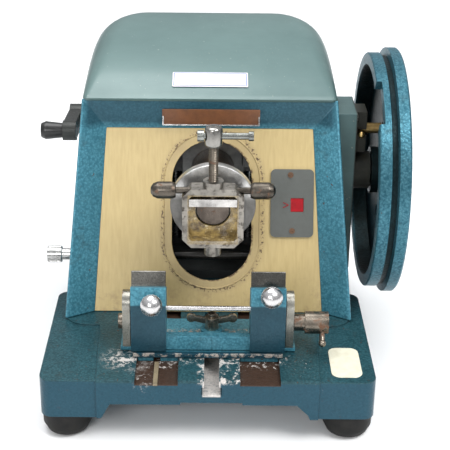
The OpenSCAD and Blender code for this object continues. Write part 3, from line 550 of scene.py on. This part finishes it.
# ---- detail pieces ----
def add_piece(name, body, slot, verts, faces, material=None, smooth=True, matrix=None):
    """A mesh piece; verts are millimetres, in the deck's frame or in matrix's own frame."""
    mesh = bpy.data.meshes.new(name)
    spots = [(matrix @ Vector(v)) if matrix else Vector(v) for v in verts]
    mesh.from_pydata([tuple(at(*v)) for v in spots], [], faces)
    work = bmesh.new()
    work.from_mesh(mesh)
    bmesh.ops.remove_doubles(work, verts=work.verts, dist=0.001 * MM)
    bmesh.ops.recalc_face_normals(work, faces=work.faces)
    work.to_mesh(mesh)
    work.free()
    for polygon in mesh.polygons:
        polygon.use_smooth = smooth
    mesh.materials.append(material or MATERIALS[slot])
    piece = bpy.data.objects.new(name, mesh)
    bpy.context.scene.collection.objects.link(piece)
    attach(piece, body)
    return piece


def grid_faces(rows, count, closed=True):
    """Quads between rows of count points each."""
    faces = []
    for row in range(rows - 1):
        for k in range(count if closed else count - 1):
            a, b = row * count + k, row * count + (k + 1) % count
            faces.append((a, b, b + count, a + count))
    return faces


def lathe(profile, count=48):
    """Turned surface round the local Z axis from (radius, z) points; ends close on the axis."""
    verts = [(r * math.cos(TAU * k / count), r * math.sin(TAU * k / count), z)
             for r, z in profile for k in range(count)]
    return verts, grid_faces(len(profile), count)


def threaded(root, crest, pitch, low, high, count=28, steps=6):
    """A screw thread's surface round the local Z axis, closed at both ends."""
    rows = round((high - low) / pitch * steps) + 1
    verts = [(0, 0, low)] * count
    for row in range(rows):
        z = low + (high - low) * row / (rows - 1)
        for k in range(count):
            phase = (z / pitch - k / count) % 1
            tooth = 1 - abs(2 * phase - 1)
            taper = min(1, (z - low) / pitch, (high - z) / pitch)
            r = root + (crest - root) * min(1, 1.3 * tooth) * max(0, taper)
            verts.append((r * math.cos(TAU * k / count), r * math.sin(TAU * k / count), z))
    verts += [(0, 0, high)] * count
    return verts, grid_faces(rows + 2, count)


def along(x, y, z, axis):
    """The local frame whose Z runs along axis from a point of the deck's frame."""
    return Matrix.Translation((x, y, z)) @ Vector(axis).to_track_quat("Z", "Y").to_matrix().to_4x4()


def slab(width, length, thick, corner, hole=None):
    """A flat plate with round corners, from local z 0 to thick; with hole, a frame that wide."""
    steps = 6

    def outline(w, h, r):
        points = []
        x, y = w / 2 - r, h / 2 - r
        for quarter, (cx, cy) in enumerate(((x, y), (-x, y), (-x, -y), (x, -y))):
            for k in range(steps + 1):
                a = (quarter + k / steps) * math.pi / 2
                points.append((cx + r * math.cos(a), cy + r * math.sin(a)))
        return points

    outer = outline(width, length, corner)
    n = len(outer)
    if not hole:
        verts = [(x, y, z) for z in (0, thick) for x, y in outer]
        return verts, grid_faces(2, n) + [tuple(range(n)), tuple(range(n, 2 * n))]
    inner = outline(width - 2 * hole, length - 2 * hole, max(0.1, corner - hole))
    loops = [(outer, 0), (outer, thick), (inner, thick), (inner, 0), (outer, 0)]
    return [(x, y, z) for loop, z in loops for x, y in loop], grid_faces(5, n)


def centre(node):
    """The middle of a CAD node's box, in the deck's frame."""
    low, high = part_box(node)
    return ((low + high) / 2 - DECK) / MM


def leaning(x, y, z, lift):
    """Local frame lift outside a point of the leaning front: X right, Y up the slope, Z out."""
    turn = Matrix(((1, UP[0], OUT[0]), (0, UP[1], OUT[1]), (0, UP[2], OUT[2]))).to_4x4()
    return Matrix.Translation((x, y + lift * OUT[1], z + lift * OUT[2])) @ turn


def make_clamp_screw():
    """The clamp screw with a real thread and a turned head, in place of the CAD's plain one."""
    place = Matrix.Translation((AXIS_X, SCREW_Y, 0))
    verts, faces = threaded(3.15, 3.78, 1.5, 118.3, 163.2)
    screw = add_piece("clamp_screw_thread", "clamp_screw", "rusty_steel", verts, faces,
                      matrix=place)
    head = [(0, 162.8), (4.2, 162.8), (5.4, 163.6), (6.7, 165.4), (6.75, 166.4), (6.75, 177.8),
            (6.3, 178.9), (5.2, 179.7), (3, 179.95), (0, 180)]
    verts, faces = lathe(head)
    top = add_piece("clamp_screw_head", "clamp_screw", "rusty_steel", verts, faces,
                    material=steel("clamp_head_steel", (0.30, 0.29, 0.27), 0.36, 0.2,
                                   (1, 1, 0.08)),
                    matrix=place)
    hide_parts("clamp_screw")
    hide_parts("clamp_screw")


def ribs(name, body, slot, matrix, radius, low, high, count, height):
    """A knurled band: small ridges along the local Z axis, sunk into the cylinder they sit on."""
    verts, faces = [], []
    half = 0.36 * TAU / count
    foot, crest = radius - 0.4, radius + height
    for k in range(count):
        a = TAU * k / count
        base = len(verts)
        for z, r in ((low, radius), (low + height, crest), (high - height, crest), (high, radius)):
            verts += [(foot * math.cos(a - half), foot * math.sin(a - half), z),
                      (r * math.cos(a), r * math.sin(a), z),
                      (foot * math.cos(a + half), foot * math.sin(a + half), z)]
        faces += [tuple(base + i for i in face) for face in grid_faces(4, 3)]
        faces += [(base, base + 1, base + 2), (base + 9, base + 10, base + 11)]
    return add_piece(name, body, slot, verts, faces, smooth=False, matrix=matrix)


def slotted_screw(name, body, slot, matrix, radius, height=1.2):
    """A cheese-head screw: its slot is the gap between two half discs on a round foot."""
    foot = 0.5 * height
    verts, faces = lathe([(0, -0.3), (radius, -0.3), (radius, foot), (0, foot)], 24)
    half = 9
    rim = 0.98 * radius
    for sign in (1, -1):
        base = len(verts)
        for z, r in ((foot, rim), (0.85 * height, rim), (height, 0.84 * radius)):
            for k in range(half):
                a = math.pi * (0.06 + 0.88 * k / (half - 1))
                verts.append((r * math.cos(a), sign * max(0.12 * radius, r * math.sin(a)), z))
        for row in range(2):
            for k in range(half):
                n = (k + 1) % half
                p = base + row * half
                faces.append((p + k, p + n, p + half + n, p + half + k))
        faces.append(tuple(base + 2 * half + k for k in range(half)))
    return add_piece(name, body, slot, verts, faces, smooth=False, matrix=matrix)


make_clamp_screw()
ribs("thickness_knob_knurl", "thickness", "bright_steel",
     along(-139.2, KNOB_Y, KNOB_Z, (1, 0, 0)), 7, 0.8, 11.6, 40, 0.35)
for name, rise, tilt in (("pointer_upper", 1.1, -24), ("pointer_lower", -1.1, 24)):
    turn = leaning(*centre("indicator_window"), 1.9) @ Matrix.Translation((-9.6, rise, 0))
    turn = turn @ Matrix.Rotation(math.radians(tilt), 4, "Z")
    add_piece(name, "machine", "red_window", *slab(5, 0.6, 0.15, 0.2), smooth=False, matrix=turn)


# ---- the cover ----
CROWN_Y, CROWN_Z = 156, 174     # where the crown starts to rise
CROWN_LENGTH, CROWN_RISE = 150, 32


def lid_top(y):
    """Height of the cover's crown along its length, up to the start of its rear curve."""
    way = min(max((y - CROWN_Y) / CROWN_LENGTH, 0), 1)
    return CROWN_Z + CROWN_RISE * (1 - (1 - way) ** 2)


# the cover's sections: y, half width, top, corner radius
LID = ((148, 105.5, 171, 5), (156, 105.5, 174, 5), (190, 105.5, lid_top(190), 14),
       (232, 105.5, lid_top(232), 23), (264, 104.5, lid_top(264), 27), (290, 102, lid_top(290), 32),
       (310, 90.5, 203.5, 34), (322, 76, 196, 32), (329.4, 58, 183, 26))
LID_START = LID[0][0]
LID_END, END_HALF, END_TOP = LID[-1][:3]
LID_LOW = 149
LID_SKIN = 2.6
CORNER, SIDE = 0.3, 0.6         # where a section's corner and its side start, of 1
FRAME_TOP = 183.4               # the front frame's top, up the slope
FRAME_BACK = 24.4               # its back, in from the face


def smooth_row(table, y):
    """The table's values at y, along a cubic through its rows."""
    last = len(table) - 1
    i = max(0, min(last - 1, sum(row[0] <= y for row in table) - 1))
    a, b = table[i], table[i + 1]
    before, after = table[max(0, i - 1)], table[min(last, i + 2)]
    width = b[0] - a[0]
    t = (y - a[0]) / width
    values = []
    for k in range(1, len(a)):
        rise_a = (b[k] - before[k]) / (b[0] - before[0]) * width
        rise_b = (after[k] - a[k]) / (after[0] - a[0]) * width
        values.append(a[k] * (2 * t ** 3 - 3 * t * t + 1) + rise_a * (t ** 3 - 2 * t * t + t)
                      + b[k] * (3 * t * t - 2 * t ** 3) + rise_b * (t ** 3 - t * t))
    return values


def lid_point(y, u):
    """A point of the cover's skin: u runs from -1, low on the left, over the crown, to 1."""
    half, top, radius = smooth_row(LID, y)
    side, v = math.copysign(1, u), abs(u)
    x, z = half - radius, top - radius
    if v > SIDE:
        return (side * half, y, z - (v - SIDE) / (1 - SIDE) * (z - LID_LOW))
    if v > CORNER:
        turn = (v - CORNER) / (SIDE - CORNER) * math.pi / 2
        return (side * (x + radius * math.sin(turn)), y, z + radius * math.cos(turn))
    return (side * v / CORNER * x, y, top)


def lid_start(u):
    """The y at which the skin meets the back or the top of the front frame."""
    clear, blocked = 205, LID_START
    while clear - blocked > 0.01:
        y = (clear + blocked) / 2
        point = lid_point(y, u)
        rise = (point[1] - FRONT_Y) * math.sin(LEAN) + point[2] * math.cos(LEAN)
        depth = (point[1] - FRONT_Y) * math.cos(LEAN) - point[2] * math.sin(LEAN)
        if rise < FRAME_TOP and depth < FRAME_BACK:
            blocked = y
        else:
            clear = y
    return clear


def make_lid():
    """The cover as one smooth skin with a closed rear, in place of the CAD's flat facets."""
    across, rows = 72, 56
    verts = []
    for r in range(rows):
        t = r / (rows - 1)
        for k in range(across):
            u = 2 * k / (across - 1) - 1
            start = lid_start(u)
            verts.append(lid_point(start + (LID_END - start) * (1 - (1 - t) ** 1.5), u))
    for inset, y in ((0.5, 329.8), (1.6, 329.9)):
        for k in range(across):
            x, _, z = lid_point(LID_END, 2 * k / (across - 1) - 1)
            low = LID_LOW + (z - LID_LOW) * (1 - inset / (END_TOP - LID_LOW))
            verts.append((x * (1 - inset / END_HALF), y, low))
    faces = grid_faces(rows + 2, across, closed=False)
    faces.append(tuple(range((rows + 1) * across, (rows + 2) * across)))
    lid = add_piece("top_cover_skin", "cover", "cover_paint", verts, faces)
    crown = max(lid.data.polygons[:rows * (across - 1)], key=lambda face: abs(face.normal.z))
    if crown.normal.z < 0:
        lid.data.flip_normals()
    shell = lid.modifiers.new("shell", "SOLIDIFY")
    shell.thickness = LID_SKIN * MM
    shell.offset = -1
    rim = lid.modifiers.new("rim", "BEVEL")
    rim.width = 0.5 * MM
    rim.segments = 2
    rim.limit_method = "ANGLE"
    rim.angle_limit = math.radians(50)
    split = lid.modifiers.new("split", "EDGE_SPLIT")
    split.split_angle = math.radians(48)
    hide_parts("top_cover")


make_lid()

# ---- screws, marks and borders ----
for body, y, z, row in (("machine", 332, 132, "hinge"), ("cover", 331.6, 163.4, "leaf")):
    for k, x in enumerate((-30, 0, 30)):
        slotted_screw(f"{row}_screw_{k}", body, "screw_steel", along(x, y, z, (0, 1, 0)), 2.8)
slotted_screw("crank_hub_screw", "crank", "worn_steel",
              along(-131.5, CRANK_Y, CRANK_Z, (-1, 0, 0)), 3.6)
for k, (y, z) in enumerate(((177, 150), (205, 150), (177, 60), (205, 40))):
    slotted_screw(f"cheek_screw_{k}", "machine", "worn_steel", along(124, y, z, (1, 0, 0)), 3.4)
label_y, label_z = 176, 182.56      # the middle of the cover label's face
way = (label_y - CROWN_Y) / CROWN_LENGTH
slope = math.atan(2 * CROWN_RISE * (1 - way) / CROWN_LENGTH)
label = Matrix.Translation((0, label_y, label_z)) @ Matrix.Rotation(slope, 4, "X")
edge_blue = printed("label_blue_print", (0.060, 0.130, 0.420), (0.200, 0.240, 0.420), 0.4, 0.6)
add_piece("cover_label_border", "cover", "white_label", *slab(61, 17, 0.2, 0.6, 0.7),
          material=edge_blue, smooth=False, matrix=label @ Matrix.Translation((0, 0, 0.12)))
TICKS = 11
for k in range(TICKS):
    turn = along(58, DRUM_Y, DRUM_Z, (1, 0, 0)) @ Matrix.Rotation(TAU * k / TICKS, 4, "Z")
    long = 9 if k % 2 else 12
    tick = turn @ Matrix.Translation((15.02, 0, 12 + long / 2))
    tick = tick @ Matrix.Rotation(math.pi / 2, 4, "Y")
    add_piece(f"drum_tick_{k}", "drum", "black_plastic", *slab(long, 0.8, 0.12, 0.2),
              smooth=False, matrix=tick)
add_piece("name_plate_border", "machine", "bright_steel", *slab(80.6, 14.2, 0.35, 0.8, 1.1),
          smooth=False, matrix=leaning(*centre("name_plate"), 0.45))


# ---- floor and lights ----
def make_stage():
    bpy.ops.mesh.primitive_plane_add(size=12, location=(0, 0, 0))
    floor = bpy.context.object
    floor.name = "floor"
    s = Shader("floor_card", Roughness=0.9, Specular_IOR_Level=0.1)
    colour = s.mix(s.noise(600, 2), (0.90, 0.90, 0.90), (0.93, 0.93, 0.93))
    floor.data.materials.append(s.done(colour))


def area_light(name, place, target, size, power, colour=(1, 1, 1)):
    data = bpy.data.lights.new(name, "AREA")
    data.shape = "RECTANGLE"
    data.size, data.size_y = size
    data.energy = power
    data.color = colour
    light = bpy.data.objects.new(name, data)
    light.location = place
    light.rotation_euler = (Vector(target) - Vector(place)).to_track_quat("-Z", "Y").to_euler()
    bpy.context.scene.collection.objects.link(light)


def make_lights():
    """A soft box over the front, one overhead, a low front fill and a sky darker below."""
    middle = (0, 0, 0.12)
    area_light("key", (0.75, -0.75, 1.45), middle, (0.7, 0.7), 20)
    area_light("top", (-0.25, 0.2, 1.6), middle, (1.2, 0.8), 15)
    area_light("front", (-0.6, -1.7, 0.9), middle, (0.8, 0.6), 12)
    world = bpy.data.worlds.new("studio")
    world.use_nodes = True
    tree = world.node_tree
    sky = tree.nodes.new("ShaderNodeTexCoord").outputs["Generated"]
    split = tree.nodes.new("ShaderNodeSeparateXYZ")
    tree.links.new(sky, split.inputs[0])
    level = tree.nodes.new("ShaderNodeMapRange")
    tree.links.new(split.outputs["Z"], level.inputs["Value"])
    levels = {"From Min": -0.05, "From Max": 0.9, "To Min": 0.28, "To Max": 1.0}
    for socket, value in levels.items():
        level.inputs[socket].default_value = value
    tree.links.new(level.outputs["Result"], tree.nodes["Background"].inputs["Strength"])
    tree.nodes["Background"].inputs["Color"].default_value = (0.96, 0.98, 1.0, 1)
    bpy.context.scene.world = world


make_stage()
make_lights()
